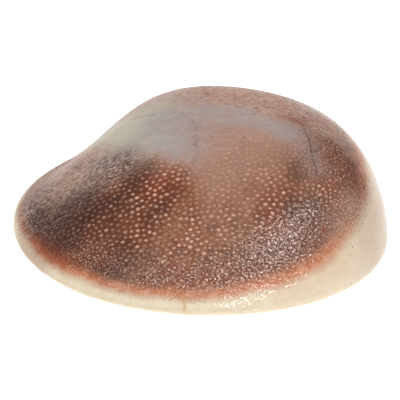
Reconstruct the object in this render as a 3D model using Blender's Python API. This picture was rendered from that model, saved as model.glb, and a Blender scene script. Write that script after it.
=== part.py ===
"""The operculum of a large turban sea snail: the thick limy door that closed the shell's mouth.

It grew as one piece, so it is one solid, resting on its flat inner face. The outer face is a lopsided dome,
high towards the back, that falls to a low lobe on the left round a hollow at the back left.
Metres, +Z up, +X to the right and +Y to the back, with the origin under the middle of the solid's box.
"""

import math

import bmesh
import bpy
from mathutils import Vector

MM = 0.001

# The outline seen from above: an oval that is a little three-cornered
LONG_RADIUS = 45.4 * MM
SHORT_RADIUS = 39.3 * MM
OVAL_TURN = math.radians(-27)
CORNER_SHARE = 0.015
CORNER_TURN = math.radians(-14)

# The height of the dome over the middle, and what it gains or loses a reach away from there
REACH = 44 * MM
CROWN_HEIGHT = 22.1 * MM
RISE_TO_RIGHT = 6.0 * MM
RISE_TO_BACK = 10.1 * MM
LIFT_OF_BOTH_ENDS = 7.0 * MM
FALL_OF_FRONT_AND_BACK = 1.8 * MM
TWIST = -3.7 * MM

# The hollow at the back left, an oval dip in the crown
HOLLOW_DEPTH = 22.4 * MM
HOLLOW_X = -36.9 * MM
HOLLOW_Y = 31.6 * MM
HOLLOW_RADIUS_ACROSS = 17.3 * MM
HOLLOW_RADIUS_ALONG = 24.2 * MM
HOLLOW_TURN = math.radians(-22)
LOWEST_CROWN = 2 * MM

# How boxy the dome is: the two powers of a superellipse, which grow to the right and to the back
PLAN_POWER = 3.0
PLAN_POWER_TO_RIGHT = 0.49
PLAN_POWER_TO_BACK = 0.71
WALL_POWER = 1.3
WALL_POWER_TO_RIGHT = 0.335
WALL_POWER_TO_BACK = 0.35
LEAST_WALL_POWER = 1.05

# The rounded edge between the wall and the flat inner face, thicker on the right
EDGE_RADIUS = 1.7 * MM
EDGE_RADIUS_GAIN_TO_RIGHT = 0.7 * MM

# The mesh
COLUMNS = 108
OUTER_RINGS = 24
EDGE_RINGS = 4
SMOOTH_UNDER = math.radians(40)
EQUATOR_SLACK = 0.001

SHELL_BROWN = (0.3, 0.13, 0.085, 1)
SHELL_ROUGHNESS = 0.35


def rim_radius(angle):
    """The distance from the middle to the outline in a direction, seen from above."""
    along = SHORT_RADIUS * math.cos(angle - OVAL_TURN)
    across = LONG_RADIUS * math.sin(angle - OVAL_TURN)
    oval = LONG_RADIUS * SHORT_RADIUS / math.hypot(along, across)
    return oval * (1 + CORNER_SHARE * math.cos(3 * (angle - CORNER_TURN)))


def edge_radius(angle):
    """The radius of the rounded edge under the rim, in a direction."""
    return EDGE_RADIUS + EDGE_RADIUS_GAIN_TO_RIGHT * math.cos(angle)


def crown_height(x, y):
    """How high the dome would stand over a point if it had no walls."""
    right = x / REACH
    back = y / REACH
    crown = CROWN_HEIGHT + RISE_TO_RIGHT * right + RISE_TO_BACK * back + TWIST * right * back
    crown += LIFT_OF_BOTH_ENDS * right**2 - FALL_OF_FRONT_AND_BACK * back**2
    off_x = x - HOLLOW_X
    off_y = y - HOLLOW_Y
    across = (off_x * math.cos(HOLLOW_TURN) + off_y * math.sin(HOLLOW_TURN)) / HOLLOW_RADIUS_ACROSS
    along = (off_y * math.cos(HOLLOW_TURN) - off_x * math.sin(HOLLOW_TURN)) / HOLLOW_RADIUS_ALONG
    crown -= HOLLOW_DEPTH * math.exp(-(across**2) - along**2)
    if crown < LOWEST_CROWN:
        crown = LOWEST_CROWN * math.exp(crown / LOWEST_CROWN - 1)
    return crown


def outer_point(angle, climb):
    """A point of the outer face in a direction, with climb from 0 at the rim to a right angle at the middle."""
    share = max(math.cos(climb), 0) ** (2 / PLAN_POWER)
    x = share * rim_radius(angle) * math.cos(angle)
    y = share * rim_radius(angle) * math.sin(angle)
    plan_power = PLAN_POWER + (PLAN_POWER_TO_RIGHT * x + PLAN_POWER_TO_BACK * y) / REACH
    wall_power = WALL_POWER + (WALL_POWER_TO_RIGHT * x + WALL_POWER_TO_BACK * y) / REACH
    wall = (1 - share**plan_power) ** (1 / max(wall_power, LEAST_WALL_POWER))
    return Vector((x, y, edge_radius(angle) + crown_height(x, y) * wall))


def edge_point(angle, under):
    """A point of the rounded edge, with under from 0 at the rim to a right angle on the flat inner face."""
    radius = edge_radius(angle)
    reach = rim_radius(angle) - radius * (1 - math.cos(under))
    return Vector((reach * math.cos(angle), reach * math.sin(angle), radius * (1 - math.sin(under))))


def build_operculum():
    """Shapes the upper half of a sphere into the outer face, then rolls its rim under to the flat inner face."""
    mesh = bpy.data.meshes.new("operculum")
    bm = bmesh.new()
    bmesh.ops.create_uvsphere(bm, u_segments=COLUMNS, v_segments=2 * OUTER_RINGS, radius=1)
    lower = [vert for vert in bm.verts if vert.co.z < -EQUATOR_SLACK]
    bmesh.ops.delete(bm, geom=lower, context="VERTS")
    for vert in bm.verts:
        angle = math.atan2(vert.co.y, vert.co.x)
        climb = math.asin(min(max(vert.co.z, 0), 1))
        vert.co = outer_point(angle, climb)

    rim = [edge for edge in bm.edges if edge.is_boundary]
    for ring in range(1, EDGE_RINGS + 1):
        under = math.pi / 2 * ring / EDGE_RINGS
        grown = bmesh.ops.extrude_edge_only(bm, edges=rim)["geom"]
        for vert in [part for part in grown if isinstance(part, bmesh.types.BMVert)]:
            vert.co = edge_point(math.atan2(vert.co.y, vert.co.x), under)
        rim = [part for part in grown if isinstance(part, bmesh.types.BMEdge) and part.is_boundary]
    bmesh.ops.holes_fill(bm, edges=rim)

    middle = middle_of_box(bm)
    bmesh.ops.translate(bm, verts=bm.verts, vec=-middle)
    bmesh.ops.recalc_face_normals(bm, faces=bm.faces)
    bm.to_mesh(mesh)
    bm.free()
    mesh.shade_smooth()
    mesh.set_sharp_from_angle(angle=SMOOTH_UNDER)
    return bpy.data.objects.new("operculum", mesh)


def middle_of_box(bm):
    """The point on the floor under the middle of the shape's box."""
    across = [vert.co.x for vert in bm.verts]
    deep = [vert.co.y for vert in bm.verts]
    return Vector(((min(across) + max(across)) / 2, (min(deep) + max(deep)) / 2, 0))


def shell_material():
    """Polished brown shell."""
    material = bpy.data.materials.new("brown_shell")
    material.use_nodes = True
    shader = material.node_tree.nodes["Principled BSDF"]
    shader.inputs["Base Color"].default_value = SHELL_BROWN
    shader.inputs["Roughness"].default_value = SHELL_ROUGHNESS
    shader.inputs["Metallic"].default_value = 0
    return material


def main():
    for thing in list(bpy.data.objects):
        bpy.data.objects.remove(thing)
    collection = bpy.data.collections.new("shell_operculum")
    bpy.context.scene.collection.children.link(collection)
    operculum = build_operculum()
    operculum.data.materials.append(shell_material())
    collection.objects.link(operculum)


main()
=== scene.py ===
"""A large turban snail's operculum on a pale floor: the limy door of its shell, pimpled outer face up.

The CAD solid gives the shape. This script dresses it: one closed skin over the same dome, with every pimple
modelled, its colours, its cream rim and the horny film with its spiral on the inner face.
"""

import math
from collections import namedtuple

import bpy
import numpy as np
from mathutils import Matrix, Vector, kdtree, noise
from mathutils.geometry import delaunay_2d_cdt


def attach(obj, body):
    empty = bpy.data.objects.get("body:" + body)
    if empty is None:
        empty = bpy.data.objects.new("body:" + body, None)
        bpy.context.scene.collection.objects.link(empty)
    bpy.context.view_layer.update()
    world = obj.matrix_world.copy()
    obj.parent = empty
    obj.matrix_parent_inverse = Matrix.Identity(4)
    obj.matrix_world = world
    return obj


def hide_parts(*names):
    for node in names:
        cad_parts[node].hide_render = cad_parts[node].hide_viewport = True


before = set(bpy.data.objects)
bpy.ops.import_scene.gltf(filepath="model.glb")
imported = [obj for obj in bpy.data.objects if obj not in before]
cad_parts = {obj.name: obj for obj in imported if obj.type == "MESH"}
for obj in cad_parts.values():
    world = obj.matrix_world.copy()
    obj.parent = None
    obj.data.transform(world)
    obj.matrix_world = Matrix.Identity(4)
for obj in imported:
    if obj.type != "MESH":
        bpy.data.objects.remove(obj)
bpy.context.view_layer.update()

bl_info = {
    "name": "Shell operculum",
    "version": (1, 0, 0),
    "blender": (4, 5, 0),
    "location": "View3D > Sidebar > Operculum",
    "description": "Dresses the operculum of a large turban snail and sets its stage",
    "category": "Object",
}

MM = 0.001
FULL_TURN = 2 * math.pi

# The dome, with the same sizes as the part's source
LONG_RADIUS = 45.4 * MM
SHORT_RADIUS = 39.3 * MM
OVAL_TURN = math.radians(-27)
CORNER_SHARE = 0.015
CORNER_TURN = math.radians(-14)
REACH = 44 * MM
CROWN_HEIGHT = 22.1 * MM
RISE_TO_RIGHT = 6.0 * MM
RISE_TO_BACK = 10.1 * MM
LIFT_OF_BOTH_ENDS = 7.0 * MM
FALL_OF_FRONT_AND_BACK = 1.8 * MM
TWIST = -3.7 * MM
HOLLOW_DEPTH = 22.4 * MM
HOLLOW_X = -36.9 * MM
HOLLOW_Y = 31.6 * MM
HOLLOW_RADIUS_ACROSS = 17.3 * MM
HOLLOW_RADIUS_ALONG = 24.2 * MM
HOLLOW_TURN = math.radians(-22)
LOWEST_CROWN = 2 * MM
PLAN_POWER = 3.0
PLAN_POWER_TO_RIGHT = 0.49
PLAN_POWER_TO_BACK = 0.71
WALL_POWER = 1.3
WALL_POWER_TO_RIGHT = 0.335
WALL_POWER_TO_BACK = 0.35
LEAST_WALL_POWER = 1.05
EDGE_RADIUS = 1.7 * MM
EDGE_RADIUS_GAIN_TO_RIGHT = 0.7 * MM

# How finely the dome is measured before points are laid on it
DIRECTIONS = 720
STEPS = 900

# The skin lies this far under the solid, so that pimples stay inside its box
SKIN_INSET = 0.05 * MM

# The ring of points that the outer face and the inner face share
RIM_POINTS = 380


def linear(hex_colour):
    """An sRGB hex colour as linear red, green and blue."""
    values = []
    for start in (1, 3, 5):
        value = int(hex_colour[start : start + 2], 16) / 255
        values.append(value / 12.92 if value <= 0.04045 else ((value + 0.055) / 1.055) ** 2.4)
    return values


def colour(name, hex_colour, description):
    """A colour that a user can change."""
    return bpy.props.FloatVectorProperty(
        name=name, description=description, default=linear(hex_colour), size=3, min=0, max=1, subtype="COLOR"
    )


def length(name, metres, description):
    """A length that a user can change."""
    return bpy.props.FloatProperty(
        name=name, description=description, default=metres, min=0, precision=5,
        subtype="DISTANCE", unit="LENGTH",
    )


class OperculumSizes(bpy.types.PropertyGroup):
    """Sizes of what grows on the dome."""

    pimple_spacing: length("Pimple spacing", 1.46 * MM, "Distance between the pimples in the middle")
    scale_spacing: length("Scale spacing", 1.0 * MM, "Distance between the scales of the lobe and the back")
    grain_spacing: length("Grain spacing", 0.86 * MM, "Distance between the fine grains outside the pimples")
    rim_grain_spacing: length("Rim grain spacing", 0.66 * MM, "Distance between the grains by the rim")
    pimple_height: length("Pimple height", 0.08 * MM, "Height of the worn pimples in the middle")
    scale_height: length("Scale height", 0.13 * MM, "Height of the scales of the low lobe")
    grain_height: length("Grain height", 0.2 * MM, "Height of the fine grains")
    furrow_depth: length("Furrow depth", 0.05 * MM, "Depth of the furrows of the lobe and the back")
    cream_width: length("Cream width", 2.8 * MM, "Width of the cream rim where it is narrow")
    cream_width_gain: length("Cream width gain", 15 * MM, "How much wider the rim is at the steep end")
    spiral_depth: length("Spiral depth", 0.12 * MM, "Depth of the growth lines on the inner face")


class OperculumColours(bpy.types.PropertyGroup):
    """Colours of the shell and the stage."""

    brown: colour("Brown", "#7c4228", "The shell between the pimples")
    # Dark brown also paints the gaps between the fine grains and the lobe's furrows, partly as painted shade
    dark_brown: colour("Dark brown", "#3c1b11", "The dark band along the ridge and the dark clouds")
    rust_brown: colour("Rust brown", "#7c3318", "The warm red clouds in the brown")
    tan: colour("Tan", "#956c4a", "The pale stripes in the brown")
    mauve: colour("Mauve", "#623c33", "The band of paler shell at the lower right")
    pimple: colour("Pimple", "#bc8e76", "The pale body of a pimple")
    # Core also flecks the fine grain, partly as painted glints
    core: colour("Core", "#e8c6ae", "The core of a pimple")
    calm_grey: colour("Calm grey", "#9c9594", "The smooth patch round the oldest shell")
    calm_green: colour("Calm green", "#bab5a0", "The greenish side of the smooth patch")
    # Worn pink also darkens the cream at both ends of the rim, partly as painted shade
    worn_pink: colour("Worn pink", "#a37c6b", "The worn top of the dome")
    leather: colour("Leather", "#795c51", "The low lobe behind the ridge")
    # On the lobe, scale is partly a painted highlight on the ridges of the scales
    scale: colour("Scale", "#b9a192", "The worn tops of the scales on the lobe and the back")
    slate: colour("Slate", "#5a5860", "The blue-grey start of the lobe")
    blush: colour("Blush", "#c9784e", "The rust-coloured border of the brown")
    # Sugar flecks the border partly as painted glints
    sugar: colour("Sugar", "#e3b394", "The bright grains in the border")
    cream: colour("Cream", "#d9cab0", "The rim")
    pale_cream: colour("Pale cream", "#e2d7c0", "The palest clouds in the rim")
    amber: colour("Amber", "#c4924f", "The streak that runs down the front of the rim")
    stain: colour("Stain", "#8a5a2e", "The tan specks on the rim")
    soot: colour("Soot", "#1d110d", "Cracks and black specks")
    horn: colour("Horn", "#4a2a12", "The horny film on the inner face")
    pale_horn: colour("Pale horn", "#7a4f22", "The film where it is thin")
    dark_horn: colour("Dark horn", "#1c0f07", "The film in the grooves")
    floor: colour("Floor", "#f4f4f2", "The floor")


def wrap(angle):
    """An angle between minus and plus half a turn."""
    return (angle + math.pi) % FULL_TURN - math.pi


def step(value, start, end):
    """0 before start and 1 after end, with a smooth rise between."""
    share = np.clip((value - start) / (end - start), 0, 1)
    return share * share * (3 - 2 * share)


def rim_radius(angle):
    """The distance from the middle to the outline in a direction, seen from above."""
    along = SHORT_RADIUS * np.cos(angle - OVAL_TURN)
    across = LONG_RADIUS * np.sin(angle - OVAL_TURN)
    oval = LONG_RADIUS * SHORT_RADIUS / np.hypot(along, across)
    return oval * (1 + CORNER_SHARE * np.cos(3 * (angle - CORNER_TURN)))


def edge_radius(angle):
    """The radius of the rounded edge under the rim, in a direction."""
    return EDGE_RADIUS + EDGE_RADIUS_GAIN_TO_RIGHT * np.cos(angle)


def crown_height(x, y):
    """How high the dome would stand over a point if it had no walls."""
    right = x / REACH
    back = y / REACH
    crown = CROWN_HEIGHT + RISE_TO_RIGHT * right + RISE_TO_BACK * back + TWIST * right * back
    crown = crown + LIFT_OF_BOTH_ENDS * right**2 - FALL_OF_FRONT_AND_BACK * back**2
    off_x = x - HOLLOW_X
    off_y = y - HOLLOW_Y
    across = (off_x * math.cos(HOLLOW_TURN) + off_y * math.sin(HOLLOW_TURN)) / HOLLOW_RADIUS_ACROSS
    along = (off_y * math.cos(HOLLOW_TURN) - off_x * math.sin(HOLLOW_TURN)) / HOLLOW_RADIUS_ALONG
    crown = crown - HOLLOW_DEPTH * np.exp(-(across**2) - along**2)
    low = LOWEST_CROWN * np.exp(np.minimum(crown, LOWEST_CROWN) / LOWEST_CROWN - 1)
    return np.where(crown < LOWEST_CROWN, low, crown)


def outer_point(angle, share):
    """Points of the outer face in a direction, at a share of the way from the middle to the outline."""
    x = share * rim_radius(angle) * np.cos(angle)
    y = share * rim_radius(angle) * np.sin(angle)
    plan_power = PLAN_POWER + (PLAN_POWER_TO_RIGHT * x + PLAN_POWER_TO_BACK * y) / REACH
    wall_power = WALL_POWER + (WALL_POWER_TO_RIGHT * x + WALL_POWER_TO_BACK * y) / REACH
    wall = np.maximum(1 - share**plan_power, 0) ** (1 / np.maximum(wall_power, LEAST_WALL_POWER))
    return np.stack([x, y, edge_radius(angle) + crown_height(x, y) * wall], axis=-1)


def edge_point(angle, under):
    """Points of the rounded edge, with under from 0 at the rim to a right angle on the inner face."""
    radius = edge_radius(angle)
    reach = rim_radius(angle) - radius * (1 - np.cos(under))
    return np.stack([reach * np.cos(angle), reach * np.sin(angle), radius * (1 - np.sin(under))], axis=-1)


class Skin:
    """The outer face unrolled to a flat round chart: direction from the middle, and distance along it."""

    def __init__(self):
        self.angles = np.arange(DIRECTIONS) * FULL_TURN / DIRECTIONS
        climb = np.linspace(math.pi / 2, 0, STEPS)
        self.shares = np.cos(climb) ** (2 / PLAN_POWER)
        points = outer_point(self.angles[:, None], self.shares[None, :])
        run = np.cumsum(np.linalg.norm(np.diff(points, axis=1), axis=2), axis=1)
        run = np.hstack([np.zeros((DIRECTIONS, 1)), run])
        self.face = run[:, -1]
        even = np.linspace(0, 1, STEPS)
        self.table = np.stack([np.interp(even * run[i, -1], run[i], self.shares) for i in range(DIRECTIONS)])
        outline = outer_point(self.angles, np.ones(DIRECTIONS))
        self.middle = np.array([(outline[:, 0].min() + outline[:, 0].max()) / 2,
                                (outline[:, 1].min() + outline[:, 1].max()) / 2, 0])

    def columns(self, angle):
        """The measured directions on both sides of an angle, and how near it is to the second."""
        turns = (angle % FULL_TURN) / FULL_TURN * DIRECTIONS
        low = np.floor(turns).astype(int) % DIRECTIONS
        return low, (low + 1) % DIRECTIONS, turns - np.floor(turns)

    def face_length(self, angle):
        """The distance along the outer face from the middle to the rim in a direction."""
        low, high, mix = self.columns(angle)
        return self.face[low] * (1 - mix) + self.face[high] * mix

    def share(self, angle, run):
        """The share of the way to the outline that a distance along the face reaches."""
        low, high, mix = self.columns(angle)
        spot = np.clip(run / self.face_length(angle), 0, 1) * (STEPS - 1)
        near = np.minimum(np.floor(spot).astype(int), STEPS - 2)
        part = spot - near
        first = self.table[low, near] * (1 - part) + self.table[low, near + 1] * part
        second = self.table[high, near] * (1 - part) + self.table[high, near + 1] * part
        return first * (1 - mix) + second * mix

    def chart(self, x, y):
        """The flat chart's point for a place seen from above."""
        angle = np.arctan2(y, x)
        share = np.hypot(x, y) / rim_radius(angle)
        spots = np.linspace(0, 1, STEPS)
        run = []
        for one, part in zip(np.atleast_1d(angle), np.atleast_1d(share)):
            column = self.table[int(round((one % FULL_TURN) / FULL_TURN * DIRECTIONS)) % DIRECTIONS]
            run.append(np.interp(part, column, spots) * self.face_length(one))
        run = np.array(run)
        return np.stack([run * np.cos(angle), run * np.sin(angle)], axis=-1)

    def lift(self, flat):
        """Points on the solid's surface for points of the flat chart."""
        angle = np.arctan2(flat[:, 1], flat[:, 0])
        run = np.hypot(flat[:, 0], flat[:, 1])
        past = run - self.face_length(angle)
        on_face = outer_point(angle, self.share(angle, run))
        under = np.clip(past / edge_radius(angle), 0, math.pi / 2)
        return np.where((past > 0)[:, None], edge_point(angle, under), on_face)

    def frame(self, flat):
        """Points, the two chart directions carried onto the surface, and outward normals."""
        tiny = 0.02 * MM
        right = np.array([tiny, 0])
        up = np.array([0, tiny])
        along_x = (self.lift(flat + right) - self.lift(flat - right)) / (2 * tiny)
        along_y = (self.lift(flat + up) - self.lift(flat - up)) / (2 * tiny)
        normal = np.cross(along_x, along_y)
        normal /= np.linalg.norm(normal, axis=1)[:, None]
        return self.lift(flat), along_x, along_y, normal


def from_rim(skin, flat):
    """The distance from the rim along the outer face, less than 0 on the rounded edge."""
    angle = np.arctan2(flat[:, 1], flat[:, 0])
    return skin.face_length(angle) - np.hypot(flat[:, 0], flat[:, 1])


def swell(angle, centre, spread):
    """1 in one direction and 0 far from it."""
    return np.exp(-((np.abs(wrap(angle - math.radians(centre))) / math.radians(spread)) ** 2.4))


def near_line(x, y, line, width):
    """1 on a line through places seen from above, or round one place, fading to 0 over a width."""
    best = np.full(x.shape, 1e9)
    for (ax, ay), (bx, by) in zip(line, line[1:] or line):
        ax, ay, bx, by = ax * MM, ay * MM, bx * MM, by * MM
        long = max((bx - ax) ** 2 + (by - ay) ** 2, 1e-12)
        share = np.clip(((x - ax) * (bx - ax) + (y - ay) * (by - ay)) / long, 0, 1)
        best = np.minimum(best, np.hypot(x - ax - share * (bx - ax), y - ay - share * (by - ay)))
    return np.exp(-((best / width) ** 2))


# Lines on the outer face, as places seen from above in millimetres
CRACKS = (
    ((22.3, 3.6), (24.3, 2.2), (25.2, -1.5)),
    ((25.2, -1.5), (25.9, -3.6), (26.3, -6.5), (26.4, -9)),
    ((26.7, -10), (27.3, -12), (27.4, -14.5)),
    ((0.8, 18.6), (2.8, 20.0), (4.6, 20.1)),
)
CRACK_WIDTHS = (0.1, 0.18, 0.14, 0.06)
FULL_CRACK = 0.15
STREAK = ((-3.0, -36.6), (-2.8, -37.8), (-2.7, -39.4))
OLD_EDGE = ((-15.8, 14.9), (-10.6, 13.4), (-7.9, 13.4), (-5.2, 12.8), (-2.9, 10.8), (-1.4, 8.7), (-0.4, 5.3),
            (-0.3, 2.1), (-0.3, -2.4), (-0.4, -6.6))

# How the edge of the cream rim waves round the piece: count, start and size in millimetres of each wave
WAVES = ((5, 0.7, 0.22), (11, 2.1, 0.16), (23, 4.4, 0.1))

# Stretches of the rim, each as its direction from the middle and its spread, in degrees
NARROW_RIM = (150, 30)
STEEP_END = (10, 50)
FULL_FRONT = (275, 42)
SPARE_LEFT = (211, 24)
WIDE_GRAIN = (335, 57)
SUGARY_BORDER = (290, 55)
DULL_BORDER = (264, 20)
# Where the rust-coloured border is fainter, each with how much fainter
FAINT_BORDERS = ((0.95, 145, 38), (0.8, 338, 15), (0.5, 200, 20), (0.5, 70, 70))

# The borders of the smooth old patch and of the lobe, in millimetres seen from above: the patch's front
# border bends forward to the right, its back border slopes two ways, and the lobe lies behind a ridge
FRONT_X = 1
FRONT_Y = -8
FRONT_BEND = 0.029
FRONT_SLOPE = 0.5
BACK_Y = 15.5
BACK_SLOPE_RIGHT = 0.6
BACK_SLOPE_LEFT = 1.2
BACK_LEFT_X = -12
RIDGE_X = -33
RIDGE_Y = -13.8
RIDGE_SLOPE = 0.44
OLD_SHELL_Y = (-7, 2, 5.3, 8.7, 10.8, 12.8, 13.4, 18)
OLD_SHELL_X = (-0.4, -0.3, -0.4, -1.4, -2.9, -5.2, -9, -22)

# Where each kind of shell fades in or out, in millimetres from its border or seen from above
INNER_FADE = (8, 15)
CALM_FRONT_FADE = (-2.5, 4)
CALM_BACK_FADE = (-3, 3)
GREY_FRONT_FADE = (-3, 5)
GREY_BACK_FADE = (-3, 2)
GREY_RIGHT_FADE = (-9, 10)
WORN_FADE = (-2, 2.5)
RIDGE_FADE = (-2.5, 3)
LOBE_RIGHT_FADE = (-17, -9)
LOBE_BACK_FADE = (0, 13)
END_LEFT_FADE = (21, 26)
END_FRONT_FADE = (-20, -12)
HAZE_LEFT_FADE = (-4, 6)
DRY_LEFT_FADE = (20, 29)
STREAK_WIDTH = 0.3 * MM
OLD_EDGE_WIDTH = 0.22 * MM

# Soft strokes of colour, each as its half width in millimetres, its strength and the places it runs through
STROKES = {
    "dark": (
        (3.3, 0.7, (-35, -13.5), (-29, -13), (-23, -12.9), (-18.2, -12.7), (-14.6, -9.2), (-12.6, -5)),
        (3.6, 1.0, (-37, -5.5), (-31.7, -7), (-26, -9)),
        (2.8, 1.0, (-37, -11.5), (-33.1, -15.6), (-29, -16.5)),
        (4.5, 0.4, (-28, -18), (-19, -20), (-18, -27)),
        (3.2, 0.35, (-11, -19), (-6, -15)),
        (3.0, 0.3, (-15, -26), (-11, -27)),
        (5.0, 0.3, (24, 4), (33, -3)),
        (2.8, 0.55, (22, -22), (26, -21)),
        (2.6, 0.45, (36.8, 0.5), (36, -4), (36.6, -14)),
        (1.5, 0.5, (-24, -26.5), (-16.2, -32.2)),
        (1.8, 0.45, (22, -12), (23, -15)),
    ),
    "rust": (
        (2.0, 0.8, (-6, -34.6), (4, -34.0), (12, -33.0)),
        (3.8, 0.9, (-11, -11), (-3.5, -13.5)),
        (3.2, 0.4, (15.5, -19.5), (20, -18)),
        (2.8, 0.9, (33, 1), (34.5, -9)),
        (1.6, 0.5, (4, 4), (9, 1), (14, -3)),
        (4.0, 0.7, (26, 4), (34, -3)),
        (3.0, 0.7, (-26, -19), (-20, -26)),
        (1.0, 1.0, (28.8, -25.0)),
    ),
    "olive": (
        (2.3, 0.8, (-1, -15), (-5.9, -23), (-13.5, -29)),
        (2.2, 0.6, (11.4, -20.5), (9.2, -30)),
        (1.7, 0.35, (-14, -19.5), (-22, -21), (-27, -22.4)),
        (3.4, 0.5, (1.5, -13), (2.5, -26)),
        (3.6, 0.7, (15, -7), (22, -13), (24, -18)),
    ),
    "mauve": (
        (3.8, 0.75, (28, -24.5), (22, -28)),
        (3.0, 0.8, (20, -29), (11, -31)),
    ),
    "band": (
        (3.5, 0.8, (-19, 17), (-13, 18), (-6, 21)),
        (4.2, 1.0, (-8, 13.5), (-2, 13), (4, 10.3), (9, 7.2)),
        (3.2, 1.0, (9, 7.2), (14.7, 3.5), (20.5, -0.9)),
        (3.2, 0.5, (21.5, -2), (25, -6.5), (27.5, -12)),
    ),
    "green": (
        (5.0, 1.0, (-21.5, 15), (-19.5, 11)),
        (5.0, 0.3, (-17, 6), (-12, 1)),
        (4.5, 0.6, (-16, 14), (-10, 17)),
    ),
    "ember": (
        (1.8, 0.9, (-38.3, -11.8), (-36, -16), (-31, -21.8)),
        (1.6, 0.4, (-31, -21.8), (-25, -27)),
        (2.4, 0.5, (38.5, -2), (38.6, -9), (37.8, -15)),
        (0.8, 0.4, (19, 5), (22.3, 3.6), (24.6, 1.5)),
        (3.0, 0.3, (24, 3), (31, 6)),
    ),
    "peach": ((2.0, 0.45, (19, -35.4), (27, -31.6), (32.5, -27.7)),),
    "slate": ((2.8, 1.0, (-23.5, -0.3), (-16, 0.2)),),
    # Darker, pinker cream at both ends of the rim: painted shade by the outline, partly a pinker tint
    "shaded_pink_rim_ends": (
        (11, 0.35, (44, 8), (44, -4), (42, -14)),
        (7.0, 0.3, (44, 0), (42, -12), (39, -20)),
        (2.6, 0.8, (-40, -7), (-38.5, -14), (-35.5, -19)),
    ),
    "pink": ((3.8, 0.6, (33, -24), (35, -21.5), (36, -18)),),
    "ash": ((4.5, 0.8, (-28, -3), (-23, -1.5), (-21, 4)), (4.0, 0.7, (-20, 15), (-14, 20), (-6, 24))),
}

# Small marks: the place seen from above and the radius in millimetres, the colour's name and its strength
SPOTS = (
    (11.2, -1.6, 0.24, "soot", 0.9),
    (13.3, 6.6, 0.2, "soot", 0.7),
    (43.0, -9.9, 0.18, "soot", 0.6),
    (41.0, -19.1, 0.16, "soot", 0.6),
    (-24.6, 5.8, 0.3, "stain", 0.7),
    (35.7, -24.1, 0.24, "stain", 0.6),
    (39.5, -20.1, 0.2, "stain", 0.5),
    (34.6, -26.1, 0.2, "stain", 0.5),
    (34.1, -27.1, 0.18, "stain", 0.5),
    (35.2, -28.6, 0.26, "stain", 0.8),
    (20.5, -35.2, 0.2, "stain", 0.5),
    (2.0, -38.2, 0.18, "stain", 0.5),
    (-15.0, -35.4, 0.18, "stain", 0.5),
    (28.8, -25.0, 0.75, "rust_brown", 0.6),
)


# The furrows come forward on both sides of their crest, and level out towards the left end
FURROW_CREST = -6 * MM
FURROW_BEND = 8.5
FURROW_LEVELS_AFTER = 20 * MM
FLOW_ALONG = 0.36
FLOW_UP = 0.4


def bow(x):
    """How far the furrows have come forward from their crest at a place along the piece, and how fast."""
    right = np.maximum(x - FURROW_CREST, 0)
    left = np.minimum(x - FURROW_CREST, 0)
    fade = np.exp(-((left / FURROW_LEVELS_AFTER) ** 2))
    forward = FURROW_BEND * right**2 + FURROW_BEND * FURROW_LEVELS_AFTER**2 * (1 - fade)
    return forward, 2 * FURROW_BEND * right + 2 * FURROW_BEND * left * fade


def flow(point):
    """Coordinates squeezed along the furrows, which arch over the dome from the lobe to the right end."""
    x, y, z = point[:, 0], point[:, 1], point[:, 2]
    return np.stack([FLOW_ALONG * x, y + bow(x)[0], FLOW_UP * z], axis=-1)


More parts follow.
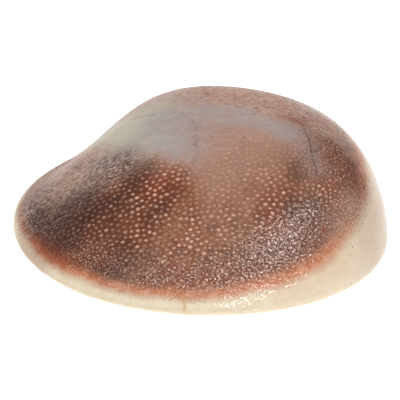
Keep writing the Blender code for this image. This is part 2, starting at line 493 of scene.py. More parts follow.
def masks(skin, flat):
    """Shares from 0 to 1 that say which kind of shell lies at each point, by name."""
    point = skin.lift(flat)
    x, y = point[:, 0], point[:, 1]
    long, deep = x / MM, y / MM
    angle = np.arctan2(y, x)
    rim = from_rim(skin, flat)
    sizes = bpy.context.scene.operculum_sizes
    wave = sum(size * np.sin(count * angle + start) for count, start, size in WAVES)
    wobble = 0.9 * np.sin(0.62 * long + 1.3) * np.sin(0.55 * deep + 0.4)
    wobble = wobble + 0.5 * np.sin(1.7 * long - 0.9 * deep)

    # The cream rim, with a soft edge that is wider where the rim is wide
    width = sizes.cream_width * (1 - 0.6 * swell(angle, *NARROW_RIM))
    width = width + sizes.cream_width_gain * swell(angle, *STEEP_END)
    width = width + 0.5 * MM * (swell(angle, *FULL_FRONT) - swell(angle, *SPARE_LEFT))
    soft = 1.3 * MM + 0.12 * width
    border = rim - width - wave * MM
    cream = 1 - step(border, -1.5 * soft, 0.9 * soft)
    beside = np.exp(-(((border - 0.3 * soft) / (1.1 * soft)) ** 2))
    blush = beside
    for less, *stretch in FAINT_BORDERS:
        blush = blush * (1 - less * swell(angle, *stretch))

    # How far each point lies behind the borders of the old patch and the lobe's ridge
    right = np.maximum(long - FRONT_X, 0)
    left = np.minimum(long - FRONT_X, 0)
    front = deep - FRONT_Y - FRONT_BEND * right**2 + FRONT_SLOPE * left + wobble
    back = deep - BACK_Y + BACK_SLOPE_RIGHT * np.maximum(long, 0)
    back = back + BACK_SLOPE_LEFT * np.maximum(BACK_LEFT_X - long, 0) + 1.2 * wobble
    above_ridge = deep - RIDGE_Y - RIDGE_SLOPE * np.maximum(long - RIDGE_X, 0)
    old = np.interp(deep, OLD_SHELL_Y, OLD_SHELL_X)
    inner = step(rim / MM, *INNER_FADE)
    calm = step(front, *CALM_FRONT_FADE) * (1 - step(back, *CALM_BACK_FADE)) * inner
    lobe = step(above_ridge, *RIDGE_FADE) * (1 - step(long, *LOBE_RIGHT_FADE)) * (1 - calm)
    lobe = lobe * (1 - 0.85 * step(deep, *LOBE_BACK_FADE))
    end = step(long, *END_LEFT_FADE) * step(deep, *END_FRONT_FADE) * (1 - calm)
    across = step(long, *HAZE_LEFT_FADE)
    haze = step(front, -8 - 17 * across, 3 - 5 * across)
    grain_edge = (10.8 + 11 * swell(angle, *WIDE_GRAIN) + 4 * wave) * MM
    grain = 1 - step(rim, grain_edge - 6 * MM, grain_edge + 5 * MM)
    grain = np.maximum(grain, 0.6 * end) * (1 - 0.7 * lobe)
    wet = grain * (1 - 0.9 * step(-long, *DRY_LEFT_FADE)) * (1 - 0.2 * cream)

    kinds = {}
    for name, strokes in STROKES.items():
        shares = [strength * near_line(x, y, places, wide * MM) for wide, strength, *places in strokes]
        kinds[name] = np.clip(sum(shares), 0, 1)
    # The painted shade at the rim's ends lies on the cream only
    kinds["shaded_pink_rim_ends"] *= cream
    crack = 0
    for line, wide in zip(CRACKS, CRACK_WIDTHS):
        crack = crack + near_line(x, y, line, wide * MM) * min(wide / FULL_CRACK, 1)
    kinds.update({
        "shell": np.ones(len(x)),
        "cream": cream,
        "blush": blush,
        # Where the border's pale grains are flecked in, partly as painted glints
        "sugar": beside * swell(angle, *SUGARY_BORDER),
        "grain": grain,
        "wet": wet * (1 - 0.6 * beside * swell(angle, *DULL_BORDER)),
        "ground": (1 - 0.85 * calm) * (1 - 0.8 * haze),
        "calm": calm,
        "grey": (1 - step(long - old, *GREY_RIGHT_FADE)) * step(front, *GREY_FRONT_FADE)
                * (1 - step(back, *GREY_BACK_FADE)) * inner,
        "worn": step(back, *WORN_FADE) * inner,
        "end": end,
        "haze": haze,
        "lobe": lobe,
        "crack": np.clip(crack, 0, 1),
        "streak": near_line(x, y, STREAK, STREAK_WIDTH),
        "old_edge": near_line(x, y, OLD_EDGE, OLD_EDGE_WIDTH),
    })
    return kinds


# How the pimples are laid: random tries, how close they may lie for their spacing, and how they are nudged
PIMPLE_TRIES = 160000
GROUND_TRIES = 90000
LEAST_GAP = 0.775
NUDGE_ROUNDS = 2
NUDGE_WITHIN = 1.25
NUDGE_NEIGHBOURS = 7
NUDGE = 0.22


def tree_of(points):
    """A tree to search points in."""
    tree = kdtree.KDTree(len(points))
    for index, point in enumerate(points):
        tree.insert(point, index)
    tree.balance()
    return tree


def scatter(skin, rng, count, spacing, keep, taken=None, taken_gap=None):
    """Points of the chart spread evenly: on the surface none lies within the spacing of one laid before."""
    longest = skin.face.max() + 2 * EDGE_RADIUS
    tries = rng.uniform(-longest, longest, (count, 2))
    tries = tries[keep(tries)]
    points = skin.lift(tries)
    gaps = spacing(tries)
    tree = tree_of(points)
    open_ones = np.ones(len(points), dtype=bool)
    if taken is not None:
        for point, gap in zip(taken, taken_gap):
            for _, index, _ in tree.find_range(point, gap):
                open_ones[index] = False
    chosen = []
    for index in range(len(points)):
        if open_ones[index]:
            chosen.append(index)
            for _, other, _ in tree.find_range(points[index], gaps[index]):
                open_ones[other] = False
    return tries[chosen]


def relax(skin, flat, spacing, keep, rounds):
    """Nudges the points apart so that they stand as evenly as pimples do."""
    for _ in range(rounds):
        points, along_x, along_y, _ = skin.frame(flat)
        gaps = spacing(flat) * NUDGE_WITHIN
        tree = tree_of(points)
        push = np.zeros_like(points)
        for index, point in enumerate(points):
            for other, _, away in tree.find_n(point, NUDGE_NEIGHBOURS):
                if 0 < away < gaps[index]:
                    push[index] += (point - np.array(other)) / away * (gaps[index] - away)
        push *= NUDGE
        east = (push * along_x).sum(axis=1) / (along_x**2).sum(axis=1)
        north = (push * along_y).sum(axis=1) / (along_y**2).sum(axis=1)
        moved = flat + np.stack([east, north], axis=1)
        good = keep(moved)
        flat = np.where(good[:, None], moved, flat)
    return flat


def rings(skin, flat, radius, stretch, points_round, turn):
    """Points round each chart point at an even radius on the surface, or pulled out along the furrows."""
    point, along_x, along_y, normal = skin.frame(flat)
    xx = (along_x**2).sum(axis=1)
    yy = (along_y**2).sum(axis=1)
    xy = (along_x * along_y).sum(axis=1)
    slope = -bow(point[:, 0])[1]
    first = np.stack([np.ones(len(flat)), slope, np.zeros(len(flat))], axis=1)
    first -= normal * (first * normal).sum(axis=1)[:, None]
    first /= np.linalg.norm(first, axis=1)[:, None]
    second = np.cross(normal, first)
    spread = xx * yy - xy**2
    out = []
    for index in range(points_round):
        way = turn + FULL_TURN * index / points_round
        long = (np.cos(way) * stretch * radius)[:, None]
        wide = (np.sin(way) * radius / np.sqrt(stretch))[:, None]
        away = first * long + second * wide
        on_x = (away * along_x).sum(axis=1)
        on_y = (away * along_y).sum(axis=1)
        east = (yy * on_x - xy * on_y) / spread
        north = (xx * on_y - xy * on_x) / spread
        out.append(flat + np.stack([east, north], axis=1))
    return np.concatenate(out)


SAME_POINT = 1e-9


def triangulate(flat, border):
    """Triangles between flat points, inside the border, as the indices of their corners."""
    points = [Vector(point) for point in flat]
    _, _, faces, originals, _, _ = delaunay_2d_cdt(points, [], [border], 1, SAME_POINT)
    return [[originals[corner][0] for corner in face] for face in faces]


# How much of a pimple's height and of its pale core each kind of shell takes away
HEIGHT_LOSS = {"calm": 0.75, "worn": 0.5, "cream": 0.9}
CORE_LOSS = {"haze": 0.3, "lobe": 0.65, "worn": 0.5, "dark": 0.2, "blush": 0.35, "cream": 1, "end": 0.15,
             "olive": 0.4, "mauve": 0.35, "band": 0.75}

# How pimples differ: the least and the most of each measure, as shares of what is usual
HEIGHT_RANGE = (0.5, 1.2)
FOOT_RANGE = (0.7, 1.15)
STRETCH_RANGE = (0, 0.35)
CORE_RANGE = (0.5, 1.05)
GRAIN_CORE_RANGE = (0.2, 1.35)
BRIGHTEST_GRAIN = 1.1
FOOT_SHARE = 0.4
PIMPLES_FROM_RIM = 0.8 * MM

# Pimples closer than this are fine grains with a single ring of points
FINE_UNDER = 1.15 * MM
# The rings: whether for grains, points round, how far out, and their shares of the height and the core
RINGS = ((False, 6, 0.55, 0.74, 0.7), (False, 7, 1.0, 0.06, 0.0), (True, 6, 1.0, 0.1, 0.0))

# The ground between the pimples, which is measured more closely by a crack
GROUND_GAP = 0.62
GROUND_GAP_LESS_BY_CRACK = 0.25
GROUND_FROM_FOOT = 0.24 * MM
EDGE_KEPT_CLEAR = 0.93


def outer_face(skin, rng, sizes):
    """The outer face's chart points, their heights over the skin, and how much of a pale core each shows."""

    def field(flat):
        kinds = masks(skin, flat)
        return (kinds["cream"] < 0.75) & (kinds["calm"] < 0.6) & (from_rim(skin, flat) > PIMPLES_FROM_RIM)

    def spacing(flat):
        kinds = masks(skin, flat)
        gap = sizes.pimple_spacing + (sizes.grain_spacing - sizes.pimple_spacing) * kinds["grain"]
        gap = gap + (sizes.scale_spacing - gap) * np.clip(kinds["lobe"] + kinds["worn"] + kinds["end"], 0, 1)
        return gap + (sizes.rim_grain_spacing - gap) * step(kinds["blush"] + kinds["cream"], 0.0, 0.7)

    def plain(flat):
        radius = edge_radius(np.arctan2(flat[:, 1], flat[:, 0]))
        return from_rim(skin, flat) > -EDGE_KEPT_CLEAR * math.pi / 2 * radius

    def ground_gap(flat):
        by_crack = np.clip(masks(skin, flat)["crack"] * 3, 0, 1)
        return (GROUND_GAP - GROUND_GAP_LESS_BY_CRACK * by_crack) * MM

    pimples = scatter(skin, rng, PIMPLE_TRIES, lambda flat: spacing(flat) * LEAST_GAP, field)
    pimples = relax(skin, pimples, spacing, field, NUDGE_ROUNDS)
    many = len(pimples)
    kinds = masks(skin, pimples)
    gap = spacing(pimples)
    fine = gap < FINE_UNDER
    height = sizes.pimple_height + (sizes.grain_height - sizes.pimple_height) * kinds["grain"]
    height = height + (sizes.scale_height - height) * kinds["lobe"]
    height = height * rng.uniform(*HEIGHT_RANGE, many)
    for name, loss in HEIGHT_LOSS.items():
        height = height * (1 - loss * kinds[name])
    foot = FOOT_SHARE * gap * rng.uniform(*FOOT_RANGE, many)
    turn = rng.uniform(0, FULL_TURN, many)
    stretch = 1 + rng.uniform(*STRETCH_RANGE, many) + scaliness(kinds)
    core = np.ones(many)
    for name, loss in CORE_LOSS.items():
        core = core * (1 - loss * kinds[name])
    grain_core = rng.uniform(*GRAIN_CORE_RANGE, many).clip(0, BRIGHTEST_GRAIN)
    core = core * np.where(fine, grain_core, rng.uniform(*CORE_RANGE, many))

    ground = scatter(skin, rng, GROUND_TRIES, ground_gap, plain, skin.lift(pimples), foot + GROUND_FROM_FOOT)
    lines = np.concatenate([line_points(skin, line) for line in (*CRACKS, STREAK)])
    angle = np.arange(RIM_POINTS) * FULL_TURN / RIM_POINTS
    far = skin.face_length(angle) + math.pi / 2 * edge_radius(angle)
    border = np.stack([far * np.cos(angle), far * np.sin(angle)], axis=1)

    flat = [border, pimples]
    bump = [np.zeros(RIM_POINTS), height]
    dot = [np.zeros(RIM_POINTS), core]
    for for_grains, points_round, reach, share, pale in RINGS:
        some = fine == for_grains
        flat.append(rings(skin, pimples[some], reach * foot[some], stretch[some], points_round,
                          turn[some] + reach))
        bump.append(np.tile(height[some] * share, points_round))
        dot.append(np.tile(core[some] * pale, points_round))
    flat = np.concatenate([*flat, ground, lines])
    rest = np.zeros(len(ground) + len(lines))
    return flat, np.concatenate([*bump, rest]), np.concatenate([*dot, rest])


def scaliness(kinds):
    """How scaly the surface is, most on the lobe."""
    return np.maximum(kinds["lobe"], 0.7 * kinds["worn"])


# Points along a crack: how many in each straight stretch, and their places across it in millimetres
POINTS_ALONG = 12
POINTS_ACROSS = (-0.3, -0.12, 0, 0.12, 0.3)


def line_points(skin, places):
    """Close points along a crack or streak, on its middle and along both its edges."""
    out = []
    for (ax, ay), (bx, by) in zip(places, places[1:]):
        long = math.hypot(bx - ax, by - ay)
        for share in np.linspace(0, 1, POINTS_ALONG, endpoint=False):
            for side in POINTS_ACROSS:
                x = ax + (bx - ax) * share - (by - ay) / long * side
                y = ay + (by - ay) * share + (bx - ax) / long * side
                out.append((x * MM, y * MM))
    out = np.array(out)
    return skin.chart(out[:, 0], out[:, 1])


# The spiral on the inner face: how often it turns round its eye, how fast it widens, and its points
SPIRAL_TURNS = 6.2
SPIRAL_GROWTH = 0.085
SPIRAL_POINTS = 1700
SPIRAL_EYE = (-6 * MM, -5 * MM)
SPIRAL_SHARE = 0.985
SPIRAL_KEPT = (0.02, 0.97)
# Across each groove: how far off its middle, as a share of its distance from the eye, and how deep there
GROOVE_SHAPE = ((-0.05, 0), (-0.022, 0.7), (0, 1), (0.022, 0.7), (0.05, 0))
GROOVE_DEEPENS = 2.5

# The even ground between the grooves, and how the face is hollowed inside its border
INNER_GRID = 1.3
INNER_GRID_HALF = 50
INNER_CLEARANCE = 0.5 * MM
DISH_DEPTH = 0.12 * MM
DISH_BORDER = 4 * MM

# The growth streaks of the film sweep round the eye: how they curl, and how long they are for their width
STREAK_CURL = 1.3
STREAK_CURL_START = 0.03
STREAKS_ROUND = 15 * MM
STREAKS_OUT = 0.08


def inner_face(skin, sizes):
    """The inner face's points, with each one's share of a groove, its height and its streak coordinates."""
    angle = np.arange(RIM_POINTS) * FULL_TURN / RIM_POINTS
    border = edge_point(angle, np.full(RIM_POINTS, math.pi / 2))[:, :2]
    turns = np.linspace(0, SPIRAL_TURNS * FULL_TURN, SPIRAL_POINTS)
    grow = np.exp(SPIRAL_GROWTH * turns)
    grow = grow / grow[-1]
    eye = np.array(SPIRAL_EYE)
    way = -turns
    reach = rim_radius(way) - edge_radius(way)
    edge = np.stack([reach * np.cos(way), reach * np.sin(way)], axis=1)
    pieces = []
    depths = []
    for offset, depth in GROOVE_SHAPE:
        radius = grow * (1 + offset)
        place = eye[None, :] * (1 - radius[:, None]) + edge * radius[:, None] * SPIRAL_SHARE
        keep = (radius > SPIRAL_KEPT[0]) & (radius < SPIRAL_KEPT[1])
        pieces.append(place[keep])
        depths.append(np.full(keep.sum(), depth) * np.minimum(1, radius[keep] * GROOVE_DEEPENS))
    side = np.arange(-INNER_GRID_HALF, INNER_GRID_HALF, INNER_GRID) * MM
    grid = np.stack(np.meshgrid(side, side), axis=-1).reshape(-1, 2)
    grid = grid[from_border(grid) > INNER_CLEARANCE]
    lines = np.concatenate(pieces)
    tree = tree_of([(*place, 0) for place in lines])
    free = [tree.find((*place, 0))[2] > INNER_CLEARANCE for place in grid]
    grid = grid[np.array(free)]
    flat = np.concatenate([border, lines, grid])
    groove = np.concatenate([np.zeros(RIM_POINTS), *depths, np.zeros(len(grid))])
    dish = DISH_DEPTH * step(from_border(flat), 0, DISH_BORDER)
    out_x, out_y = (flat - eye).T
    out = np.hypot(out_x, out_y)
    way = np.arctan2(out_y, out_x) - STREAK_CURL * np.log(out / REACH + STREAK_CURL_START)
    arcs = np.stack([STREAKS_ROUND * np.cos(way), STREAKS_ROUND * np.sin(way), STREAKS_OUT * out], axis=-1)
    return flat, groove, dish + groove * sizes.spiral_depth, arcs


def from_border(flat):
    """How far points of the inner face lie inside its border."""
    way = np.arctan2(flat[:, 1], flat[:, 0])
    return rim_radius(way) - edge_radius(way) - np.hypot(flat[:, 0], flat[:, 1])


# The last steps of the skin: the seed of its chances, how far from the rim it sinks to its full depth, the
# depth of the cracks, and the width of the furrows where the shell is scaly enough for them
SEED = 9
SINK_WITHIN = 3 * MM
CRACK_DEPTH = 0.12 * MM
FURROW_WIDTH = 0.55 * MM
LEAST_SCALINESS = 0.05


class OBJECT_OT_operculum_shell(bpy.types.Operator):
    """Builds the shell with its pimples, cream rim and inner film"""

    bl_idname = "object.operculum_shell"
    bl_label = "Shell"

    def execute(self, context):
        sizes = context.scene.operculum_sizes
        skin = Skin()
        rng = np.random.default_rng(SEED)
        flat, bump, dot = outer_face(skin, rng, sizes)
        upper = triangulate(flat, list(range(RIM_POINTS)))
        kinds = masks(skin, flat)
        points, _, _, normal = skin.frame(flat)
        lower_flat, groove, hollow, arcs = inner_face(skin, sizes)
        lower = triangulate(lower_flat, list(range(RIM_POINTS)))

        tallest = max(sizes.pimple_height, sizes.scale_height, sizes.grain_height) * HEIGHT_RANGE[1]
        tallest += sizes.furrow_depth
        sink = SKIN_INSET + tallest * (1 - kinds["cream"]) * step(from_rim(skin, flat), 0, SINK_WITHIN)
        run = flow(points)
        rough = scaliness(kinds) * (1 - kinds["cream"])
        for index in np.flatnonzero(rough > LEAST_SCALINESS):
            bump[index] += noise.noise(run[index] / FURROW_WIDTH) * rough[index] * sizes.furrow_depth
        points = points + normal * (bump - sink - CRACK_DEPTH * kinds["crack"])[:, None]
        points[:RIM_POINTS, 2] = 0
        below = np.column_stack([lower_flat, hollow])
        below[:RIM_POINTS] = points[:RIM_POINTS]
        verts = np.concatenate([points, below[RIM_POINTS:]]) - skin.middle
        shift = len(points) - RIM_POINTS
        faces = list(upper)
        for face in lower:
            faces.append([corner if corner < RIM_POINTS else corner + shift for corner in reversed(face)])

        mesh = bpy.data.meshes.new("shell")
        mesh.from_pydata(verts.tolist(), [], faces)
        mesh.update()
        mesh.shade_smooth()
        extra = len(below) - RIM_POINTS
        named = {name: np.concatenate([values, np.zeros(extra)]) for name, values in kinds.items()}
        named["dot"] = np.concatenate([dot, np.zeros(extra)])
        named["film"] = np.concatenate([np.zeros(len(points)), np.ones(extra)])
        named["groove"] = np.concatenate([np.zeros(len(points)), groove[RIM_POINTS:]])
        for name, values in named.items():
            layer = mesh.attributes.new(name, "FLOAT", "POINT")
            layer.data.foreach_set("value", values.astype(np.float32))
        layer = mesh.attributes.new("flow", "FLOAT_VECTOR", "POINT")
        layer.data.foreach_set("vector", np.concatenate([run, arcs[RIM_POINTS:]]).astype(np.float32).ravel())
        spots = []
        for at_x, at_y, *_ in SPOTS:
            away = skin.lift(skin.chart(at_x * MM, at_y * MM)) - points
            spots.append(points[np.linalg.norm(away, axis=1).argmin()] - skin.middle)
        mesh.materials.append(shell_material(context.scene.operculum_colours, spots))
        mesh.materials.append(horn_material(context.scene.operculum_colours))
        slots = np.concatenate([np.zeros(len(upper)), np.ones(len(lower))]).astype(np.int32)
        mesh.polygons.foreach_set("material_index", slots)

        shell = bpy.data.objects.new("shell", mesh)
        context.scene.collection.objects.link(shell)
        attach(shell, "root")
        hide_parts("operculum")
        return {"FINISHED"}


def node(tree, kind, settings=None, sockets=None):
    """Adds a shader node with its settings, and gives its sockets values or links from other sockets."""
    new = tree.nodes.new(kind)
    for name, value in (settings or {}).items():
        setattr(new, name, value)
    for name, value in (sockets or {}).items():
        if isinstance(value, bpy.types.NodeSocket):
            tree.links.new(value, new.inputs[name])
        else:
            new.inputs[name].default_value = value
    return new


# A layer of colour: the mask that says where, its tint and its strength. A pattern has the size of its noise
# in millimetres, the two values that it comes in between, and the coordinates that it follows. With a fray
# it frays the border of the mask, as much as the fray says, instead of showing as patches in it.
Layer = namedtuple("Layer", "where tint strength size ramp run fray", defaults=(None, (0, 1), "place", None))

SHELL_LAYERS = (
    # Clouds and stripes of brown
    Layer("shell", "dark_brown", 0.6, 3.2, (0.46, 0.66)),
    Layer("shell", "rust_brown", 0.5, 6.0, (0.46, 0.62)),
    Layer("rust", "rust_brown", 0.8),
    Layer("olive", "tan", 0.45),
    Layer("mauve", "mauve", 0.8),
    Layer("lobe", "leather", 0.75),
    Layer("dark", "dark_brown", 0.95),
    # The worn top and back, and the smooth patch of old shell
    Layer("haze", "worn_pink", 0.8),
    Layer("worn", "worn_pink", 0.8),
    Layer("worn", "rust_brown", 0.55, 3.5, (0.48, 0.7)),
    Layer("calm", "worn_pink", 1.0),
    Layer("grey", "calm_grey", 0.95),
    Layer("band", "calm_grey", 0.7),
    Layer("slate", "slate", 0.8),
    Layer("calm", "worn_pink", 0.3, 4.0, (0.5, 0.7)),
    Layer("calm", "scale", 0.35, 2.0, (0.5, 0.7), "flow"),
    # Fine grain flecks, partly painted shade and painted glints, then the pimples' pale bodies and cores
    Layer("ground", "dark_brown", 0.4, 0.45, (0.5, 0.34)),
    # Dark flecks: partly the grain's own speckle, partly painted shade between the grains
    Layer("grain", "dark_brown", 0.75, 0.55, (0.51, 0.39)),
    # Pale flecks: partly the grain's own speckle, partly painted glints on the grains
    Layer("grain", "core", 0.46, 0.4, (0.54, 0.64)),
    Layer("dot", "pimple", 0.95, None, (0.05, 0.85)),
    Layer("dot", "core", 0.8, None, (0.5, 1.0)),
    # Scales and the dark furrows between them, on the lobe partly a painted highlight and painted shade
    # Pale scale tops on the lobe, partly a painted highlight on their ridges
    Layer("lobe", "scale", 0.9, 0.4, (0.5, 0.56), "flow"),
    # Dark furrows on the lobe, partly painted shade in them
    Layer("lobe", "dark_brown", 1.0, 0.42, (0.51, 0.45), "flow"),
    Layer("worn", "scale", 0.6, 0.6, (0.48, 0.6), "flow"),
    Layer("worn", "pimple", 0.5, 0.8, (0.5, 0.6)),
    Layer("worn", "dark_brown", 0.62, 0.45, (0.44, 0.34), "flow"),
    Layer("calm", "dark_brown", 0.2, 0.5, (0.46, 0.32), "flow"),
    # Stains over all of these
    Layer("dark", "dark_brown", 0.6),
    Layer("ember", "rust_brown", 0.8),
    Layer("ash", "scale", 0.35),
    Layer("pink", "scale", 0.5),
    Layer("green", "calm_green", 0.8),
    # The rust-coloured border and the cream rim
    Layer("blush", "blush", 0.65, 0.5, (0.4, 1.25), fray=0.7),
    Layer("blush", "sugar", 0.35, 2.2, (0.47, 0.66)),
    # Pale sugary grains in the border, partly painted glints
    Layer("sugar", "sugar", 0.4, 0.5, (0.5, 0.64)),
    Layer("cream", "cream", 1.0, 0.45, (0.35, 1.1), fray=0.6),
    Layer("cream", "pale_cream", 0.5, 2.5, (0.45, 0.7)),
    # Painted shade on the cream at both ends of the rim, partly a pinker tint
    Layer("shaded_pink_rim_ends", "worn_pink", 0.8),
    Layer("peach", "blush", 0.4),
    # Lines
    Layer("crack", "dark_brown", 0.65),
    Layer("streak", "amber", 0.7),
    Layer("old_edge", "slate", 0.35),
)
FILM_LAYERS = (
    Layer("film", "pale_horn", 0.5, 9.0, (0.4, 0.65)),
    Layer("film", "pale_horn", 0.45, 1.2, (0.46, 0.66), "flow"),
    Layer("film", "dark_horn", 0.45, 0.8, (0.52, 0.36), "flow"),
    Layer("groove", "dark_horn", 0.9),
)


def runs_of(tree):
    """The coordinates that patterns follow: plain ones, and ones drawn out along the furrows or streaks."""
    return {
        "place": node(tree, "ShaderNodeTexCoord").outputs["Object"],
        "flow": node(tree, "ShaderNodeAttribute", {"attribute_name": "flow"}).outputs["Vector"],
    }


def paint(tree, base, colours, layers, runs):
    """Lays tints over a base, each where its mask says."""
    for layer in layers:
        mask = node(tree, "ShaderNodeAttribute", {"attribute_name": layer.where}).outputs["Fac"]
        pattern = mask
        if layer.size:
            sockets = {"Vector": runs[layer.run], "Scale": 1 / (layer.size * MM), "Detail": 3.0}
            pattern = node(tree, "ShaderNodeTexNoise", {}, sockets).outputs["Fac"]
        if layer.fray:
            sockets = {0: pattern, 1: layer.fray, 2: mask}
            pattern = node(tree, "ShaderNodeMath", {"operation": "MULTIPLY_ADD"}, sockets).outputs[0]
        low, high = layer.ramp
        sockets = {"Value": pattern, "From Min": low, "From Max": high, "To Max": layer.strength}
        share = node(tree, "ShaderNodeMapRange", {}, sockets).outputs["Result"]
        if layer.size and not layer.fray:
            share = node(tree, "ShaderNodeMath", {"operation": "MULTIPLY"}, {0: share, 1: mask}).outputs[0]
        sockets = {0: share, 6: base, 7: (*getattr(colours, layer.tint), 1)}
        base = node(tree, "ShaderNodeMix", {"data_type": "RGBA"}, sockets).outputs[2]
    return base


# What breaks the gloss: fine pits, sugary grains near the rim, and furrows on the lobe and the back. Each
# has its mask, the size of its noise in millimetres, the coordinates it follows and its strength.
PITS = (("ground", 0.3, "place", 1.0), ("grain", 0.6, "place", 5.0), ("lobe", 0.5, "flow", 5.0),
        ("worn", 0.6, "flow", 2.5))
PIT_DEPTH = 0.06 * MM
WEAR_SIZE = 0.8 * MM
BEAD_SIZE = 0.66 * MM
BEAD_DEPTH = 0.16 * MM
# A mark fades from this share of its radius to this one
MARK_FADE = (1.3, 0.5)


def shell_material(colours, spots):
    """Sea-polished limy shell: pale pimple cores in brown under a clear natural gloss, and a cream rim.

    The gloss is a thin clear coat. Near the rim it runs over beads as large as the grains, and breaks into
    glints.
    """
    material = bpy.data.materials.new("polished_limy_shell")
    material.use_nodes = True
    tree = material.node_tree
    tree.nodes.clear()
    runs = runs_of(tree)
    base = paint(tree, (*colours.brown, 1), colours, SHELL_LAYERS, runs)
    for spot, (_, _, radius, tint, strength) in zip(spots, SPOTS):
        away = node(tree, "ShaderNodeVectorMath", {"operation": "DISTANCE"}, {0: runs["place"], 1: spot})
        sockets = {"Value": away.outputs["Value"], "From Min": MARK_FADE[0] * radius * MM,
                   "From Max": MARK_FADE[1] * radius * MM, "To Max": strength}
        share = node(tree, "ShaderNodeMapRange", {}, sockets).outputs["Result"]
        sockets = {0: share, 6: base, 7: (*getattr(colours, tint), 1)}
        base = node(tree, "ShaderNodeMix", {"data_type": "RGBA"}, sockets).outputs[2]

    height = 0.0
    for where, size, run, strength in PITS:
        mask = node(tree, "ShaderNodeAttribute", {"attribute_name": where}).outputs["Fac"]
        sockets = {"Vector": runs[run], "Scale": 1 / (size * MM), "Detail": 3.0}
        pattern = node(tree, "ShaderNodeTexNoise", {}, sockets).outputs["Fac"]
        share = node(tree, "ShaderNodeMath", {"operation": "MULTIPLY"}, {0: mask, 1: strength}).outputs[0]
        sockets = {0: pattern, 1: share, 2: height}
        height = node(tree, "ShaderNodeMath", {"operation": "MULTIPLY_ADD"}, sockets).outputs[0]
    pits = node(tree, "ShaderNodeBump", {}, {"Strength": 0.5, "Distance": PIT_DEPTH, "Height": height})
    sockets = {"Vector": runs["place"], "Scale": 1 / WEAR_SIZE, "Detail": 3.0}
    wear = node(tree, "ShaderNodeTexNoise", {}, sockets).outputs["Fac"]
    sockets = {"Value": wear, "From Min": 0.3, "From Max": 0.7, "To Min": 0.4, "To Max": 0.56}
    rough = node(tree, "ShaderNodeMapRange", {}, sockets)
    wet = node(tree, "ShaderNodeAttribute", {"attribute_name": "wet"}).outputs["Fac"]
    sockets = {"Vector": runs["place"], "Scale": 1 / BEAD_SIZE, "Detail": 0.0}
    beads = node(tree, "ShaderNodeTexNoise", {}, sockets).outputs["Fac"]
    height = node(tree, "ShaderNodeMath", {"operation": "MULTIPLY"}, {0: beads, 1: wet}).outputs[0]
    glint = node(tree, "ShaderNodeBump", {}, {"Strength": 1.0, "Distance": BEAD_DEPTH, "Height": height})
    gloss = node(tree, "ShaderNodeMapRange", {}, {"Value": wet, "To Min": 0.12, "To Max": 0.7})
    shader = node(tree, "ShaderNodeBsdfPrincipled", {}, {
        "Base Color": base, "Roughness": rough.outputs["Result"], "Normal": pits.outputs["Normal"],
        "IOR": 1.52, "Specular IOR Level": 0.15, "Coat Weight": gloss.outputs["Result"],
        "Coat Roughness": 0.05, "Coat IOR": 1.5, "Coat Normal": glint.outputs["Normal"],
    })
    node(tree, "ShaderNodeOutputMaterial", {}, {"Surface": shader.outputs["BSDF"]})
    return material


def horn_material(colours):
    """The horny film that the snail's foot grew on: dark glossy brown, and darker in its grooves."""
    material = bpy.data.materials.new("horny_film")
    material.use_nodes = True
    tree = material.node_tree
    tree.nodes.clear()
    base = paint(tree, (*colours.horn, 1), colours, FILM_LAYERS, runs_of(tree))
    shader = node(tree, "ShaderNodeBsdfPrincipled", {}, {"Base Color": base, "Roughness": 0.3, "IOR": 1.54})
    node(tree, "ShaderNodeOutputMaterial", {}, {"Surface": shader.outputs["BSDF"]})
    return material


def floor_material(colours):
    """Matt white paper on a light table: it glows a little, so shadows on it are faint."""
    material = bpy.data.materials.new("lit_matt_paper")
    material.use_nodes = True
    shader = material.node_tree.nodes["Principled BSDF"]
    shader.inputs["Base Color"].default_value = (*colours.floor, 1)
    shader.inputs["Roughness"].default_value = 0.9
    shader.inputs["Emission Color"].default_value = (1, 1, 1, 1)
    shader.inputs["Emission Strength"].default_value = 0.65
    return material


# The camera: the photograph looks down at the piece, whose middle is a little off the middle of the frame
CAMERA_ELEVATION = math.radians(30)
CAMERA_DISTANCE = 620 * MM
SENSOR_WIDTH = 36
FRAME_PIXELS = 400
PIXELS_PER_METRE = 4.227 / MM
ORIGIN_PIXEL = (196.54, 229.06)

# The lights: the direction of each from the piece, its width and height in metres, its watts, and whether it
# lights the matt shell or shows, warm, in the gloss alone
LIGHTS = (
    ("right_softbox", (0.18, -0.37, 0.91), (0.28, 0.12), 2.3, False),
    ("left_softbox", (-0.36, -0.18, 0.91), (0.1, 0.06), 0.35, False),
    ("front_strip", (0.0, -0.45, 0.87), (0.9, 0.04), 3.2, True),
    ("front_gloss", (0.0, -0.45, 0.87), (0.9, 0.04), 3.0, False),
)
LIGHT_DISTANCE = 0.7
LIT_MIDDLE = (0, 0, 12 * MM)
WARM_WHITE = (1, 0.87, 0.81)
FLOOR_HALF = 3.0


def softbox(name, direction, size, power, lights_matt):
    """A soft light that points at the piece, and lights the matt shell or shows warm in its gloss alone."""
    light = bpy.data.lights.new(name, "AREA")
    light.shape = "RECTANGLE"
    light.size, light.size_y = size
    light.energy = power
    thing = bpy.data.objects.new(name, light)
    thing.location = Vector(LIT_MIDDLE) + Vector(direction) * LIGHT_DISTANCE
    thing.rotation_euler = (Vector(LIT_MIDDLE) - thing.location).to_track_quat("-Z", "Y").to_euler()
    thing.visible_diffuse = lights_matt
    thing.visible_glossy = not lights_matt
    if not lights_matt:
        light.color = WARM_WHITE
    bpy.context.scene.collection.objects.link(thing)


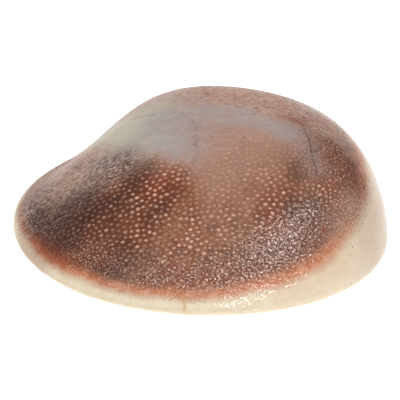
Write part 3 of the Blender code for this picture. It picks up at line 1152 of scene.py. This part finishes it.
def white_room():
    """The light of a white room, brighter behind the piece and dimmer at both sides."""
    world = bpy.data.worlds.new("white_room")
    world.use_nodes = True
    tree = world.node_tree
    way = node(tree, "ShaderNodeTexCoord").outputs["Generated"]
    parts = node(tree, "ShaderNodeSeparateXYZ", {}, {0: way})
    sockets = {"Value": parts.outputs["Y"], "From Min": -0.1, "From Max": 0.9, "To Min": 0.55,
               "To Max": 1.12}
    glow = node(tree, "ShaderNodeMapRange", {}, sockets).outputs["Result"]
    side = node(tree, "ShaderNodeMath", {"operation": "ABSOLUTE"}, {0: parts.outputs["X"]}).outputs[0]
    sockets = {"Value": side, "From Min": 0, "From Max": 1, "To Min": 1.05, "To Max": 0.55}
    dim = node(tree, "ShaderNodeMapRange", {}, sockets).outputs["Result"]
    strength = node(tree, "ShaderNodeMath", {"operation": "MULTIPLY"}, {0: glow, 1: dim}).outputs[0]
    tree.links.new(strength, tree.nodes["Background"].inputs["Strength"])
    tree.nodes["Background"].inputs["Color"].default_value = (1, 1, 1, 1)
    return world


def aimed_camera():
    """The camera, turned so that the piece's origin falls on its pixel of the frame."""
    camera = bpy.data.cameras.new("camera")
    camera.sensor_width = SENSOR_WIDTH
    camera.lens = CAMERA_DISTANCE * PIXELS_PER_METRE / FRAME_PIXELS * camera.sensor_width
    thing = bpy.data.objects.new("camera", camera)
    back = Vector((0, -math.cos(CAMERA_ELEVATION), math.sin(CAMERA_ELEVATION)))
    up = Vector((0, math.sin(CAMERA_ELEVATION), math.cos(CAMERA_ELEVATION)))
    origin = -Vector(Skin().middle)
    place = origin + back * CAMERA_DISTANCE
    aim = origin + Vector((FRAME_PIXELS / 2 - ORIGIN_PIXEL[0], 0, 0)) / PIXELS_PER_METRE
    aim = aim + up * (ORIGIN_PIXEL[1] - FRAME_PIXELS / 2) / PIXELS_PER_METRE
    thing.location = place
    thing.rotation_euler = (aim - place).to_track_quat("-Z", "Y").to_euler()
    return thing


class OBJECT_OT_operculum_stage(bpy.types.Operator):
    """Sets the floor, the soft lights and the camera"""

    bl_idname = "object.operculum_stage"
    bl_label = "Stage"

    def execute(self, context):
        mesh = bpy.data.meshes.new("floor")
        corners = [(-FLOOR_HALF, -FLOOR_HALF, 0), (FLOOR_HALF, -FLOOR_HALF, 0),
                   (FLOOR_HALF, FLOOR_HALF, 0), (-FLOOR_HALF, FLOOR_HALF, 0)]
        mesh.from_pydata(corners, [], [(0, 1, 2, 3)])
        mesh.materials.append(floor_material(context.scene.operculum_colours))
        floor = bpy.data.objects.new("floor", mesh)
        context.scene.collection.objects.link(floor)

        context.scene.world = white_room()
        for light in LIGHTS:
            softbox(*light)
        camera = aimed_camera()
        context.scene.collection.objects.link(camera)
        context.scene.camera = camera
        context.scene.view_settings.view_transform = "Standard"
        return {"FINISHED"}


class VIEW3D_PT_operculum(bpy.types.Panel):
    """Sizes, colours and the buttons that build the scene"""

    bl_label = "Shell operculum"
    bl_idname = "VIEW3D_PT_operculum"
    bl_space_type = "VIEW_3D"
    bl_region_type = "UI"
    bl_category = "Operculum"

    def draw(self, context):
        for group in (context.scene.operculum_sizes, context.scene.operculum_colours):
            box = self.layout.box()
            for name in group.__annotations__:
                box.prop(group, name)
        self.layout.operator(OBJECT_OT_operculum_shell.bl_idname)
        self.layout.operator(OBJECT_OT_operculum_stage.bl_idname)


CLASSES = (
    OperculumSizes, OperculumColours, OBJECT_OT_operculum_shell, OBJECT_OT_operculum_stage,
    VIEW3D_PT_operculum,
)


def register():
    for kind in CLASSES:
        bpy.utils.register_class(kind)
    bpy.types.Scene.operculum_sizes = bpy.props.PointerProperty(type=OperculumSizes)
    bpy.types.Scene.operculum_colours = bpy.props.PointerProperty(type=OperculumColours)


def unregister():
    del bpy.types.Scene.operculum_sizes
    del bpy.types.Scene.operculum_colours
    for kind in reversed(CLASSES):
        bpy.utils.unregister_class(kind)


def main():
    register()
    bpy.ops.object.operculum_shell()
    bpy.ops.object.operculum_stage()


if __name__ == "__main__":
    main()
